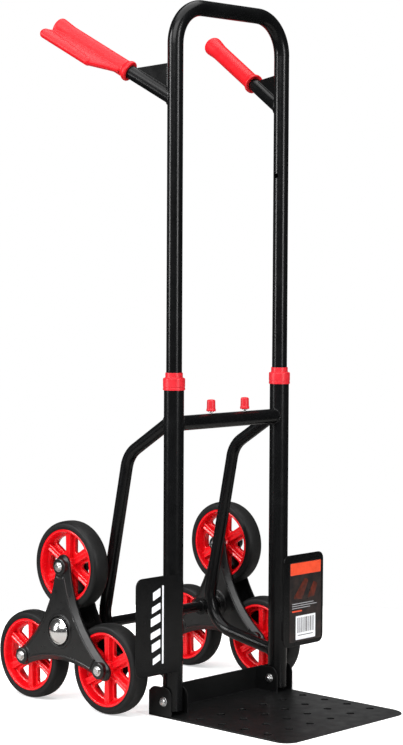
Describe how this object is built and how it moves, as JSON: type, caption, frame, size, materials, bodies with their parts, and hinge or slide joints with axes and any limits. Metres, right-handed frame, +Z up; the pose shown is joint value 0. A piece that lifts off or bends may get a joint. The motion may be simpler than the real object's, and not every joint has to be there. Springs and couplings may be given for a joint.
{
  "type": "stair-climbing hand truck",
  "caption": "Folding stair-climbing hand truck: telescopic steel handle, tri-star wheel clusters, side grips and a fold-up toe plate.",
  "frame": {"origin": "centre of the toe plate's underside, midway between the uprights' axes, on the ground", "axes": "+Z up along the uprights, -Y forward along the toe plate, +X to the truck's right seen from the front camera side"},
  "size_m": [0.424, 0.5569, 1.0648],
  "materials": {
    "black_steel": "gloss black powder coat",
    "black_plastic": "satin moulded",
    "red_wheel": "gloss moulded",
    "red_grip": "soft satin",
    "red_trim": "satin moulded",
    "tyre": "dull rubber",
    "zinc": "bright zinc plated",
    "chrome": "polished",
    "label": "printed sticker"
  },
  "bodies": {
    "frame": {"left_upright": "black_steel", "right_upright": "black_steel", "upper_crossbar": "black_steel", "left_strut": "black_steel", "right_strut": "black_steel", "axle_tube": "black_steel", "left_axle_lug": "black_steel", "right_axle_lug": "black_steel", "cluster_axle": "zinc", "left_axle_spacer": "black_steel", "right_axle_spacer": "black_steel", "axle_nuts": "zinc", "left_fender": "black_steel", "right_fender": "black_steel", "product_label": "label", "left_collar": "red_trim", "right_collar": "red_trim", "left_pivot_bolt": "zinc", "right_pivot_bolt": "zinc", "lock_spring": "zinc"},
    "handle": {"handle_bow": "black_steel", "left_grip_stub": "black_steel", "right_grip_stub": "black_steel", "left_gusset": "black_steel", "right_gusset": "black_steel", "left_grip": "red_grip", "right_grip": "red_grip", "left_handle_bush": "red_trim", "right_handle_bush": "red_trim"},
    "toe_plate": {"toe_plate": "black_steel"},
    "left_release": {"left_release_knob": "red_trim", "left_lock_pin": "zinc"},
    "left_cluster": {"left_outer_spider": "black_plastic", "left_inner_spider": "black_plastic", "left_hub_sleeve": "zinc", "left_hub_cap": "chrome", "left_wheel_bolts": "zinc"},
    "left_top_wheel": {"left_top_rim": "red_wheel", "left_top_tyre": "tyre"},
    "left_rear_wheel": {"left_rear_rim": "red_wheel", "left_rear_tyre": "tyre"},
    "left_front_wheel": {"left_front_rim": "red_wheel", "left_front_tyre": "tyre"},
    "right_release": {"right_release_knob": "red_trim", "right_lock_pin": "zinc"},
    "right_cluster": {"right_outer_spider": "black_plastic", "right_inner_spider": "black_plastic", "right_hub_sleeve": "zinc", "right_hub_cap": "chrome", "right_wheel_bolts": "zinc"},
    "right_top_wheel": {"right_top_rim": "red_wheel", "right_top_tyre": "tyre"},
    "right_rear_wheel": {"right_rear_rim": "red_wheel", "right_rear_tyre": "tyre"},
    "right_front_wheel": {"right_front_rim": "red_wheel", "right_front_tyre": "tyre"}
  },
  "joints": [
    {"name": "handle_slide", "type": "slide", "parent": "frame", "child": "handle", "axis": [0, 0, 1], "range_m": [-0.374, 0]},
    {"name": "toe_plate_fold", "type": "hinge", "parent": "frame", "child": "toe_plate", "pos_m": [0, 0, 0.024], "axis": [-1, 0, 0], "range_deg": [0, 90]},
    {"name": "left_release_slide", "type": "slide", "parent": "frame", "child": "left_release", "axis": [1, 0, 0], "range_m": [0, 0.009], "stiffness_N_per_m": 600, "springref_m": -0.004},
    {"name": "left_cluster_spin", "type": "hinge", "parent": "frame", "child": "left_cluster", "pos_m": [-0.174, 0.161, 0.117], "axis": [1, 0, 0], "continuous": true},
    {"name": "left_top_wheel_spin", "type": "hinge", "parent": "left_cluster", "child": "left_top_wheel", "pos_m": [-0.174, 0.161, 0.215], "axis": [1, 0, 0], "continuous": true},
    {"name": "left_rear_wheel_spin", "type": "hinge", "parent": "left_cluster", "child": "left_rear_wheel", "pos_m": [-0.174, 0.24587, 0.068], "axis": [1, 0, 0], "continuous": true},
    {"name": "left_front_wheel_spin", "type": "hinge", "parent": "left_cluster", "child": "left_front_wheel", "pos_m": [-0.174, 0.07613, 0.068], "axis": [1, 0, 0], "continuous": true},
    {"name": "right_release_slide", "type": "slide", "parent": "frame", "child": "right_release", "axis": [-1, 0, 0], "range_m": [0, 0.009], "stiffness_N_per_m": 600, "springref_m": -0.004},
    {"name": "right_cluster_spin", "type": "hinge", "parent": "frame", "child": "right_cluster", "pos_m": [0.174, 0.161, 0.117], "axis": [1, 0, 0], "continuous": true},
    {"name": "right_top_wheel_spin", "type": "hinge", "parent": "right_cluster", "child": "right_top_wheel", "pos_m": [0.174, 0.161, 0.215], "axis": [1, 0, 0], "continuous": true},
    {"name": "right_rear_wheel_spin", "type": "hinge", "parent": "right_cluster", "child": "right_rear_wheel", "pos_m": [0.174, 0.24587, 0.068], "axis": [1, 0, 0], "continuous": true},
    {"name": "right_front_wheel_spin", "type": "hinge", "parent": "right_cluster", "child": "right_front_wheel", "pos_m": [0.174, 0.07613, 0.068], "axis": [1, 0, 0], "continuous": true}
  ]
}
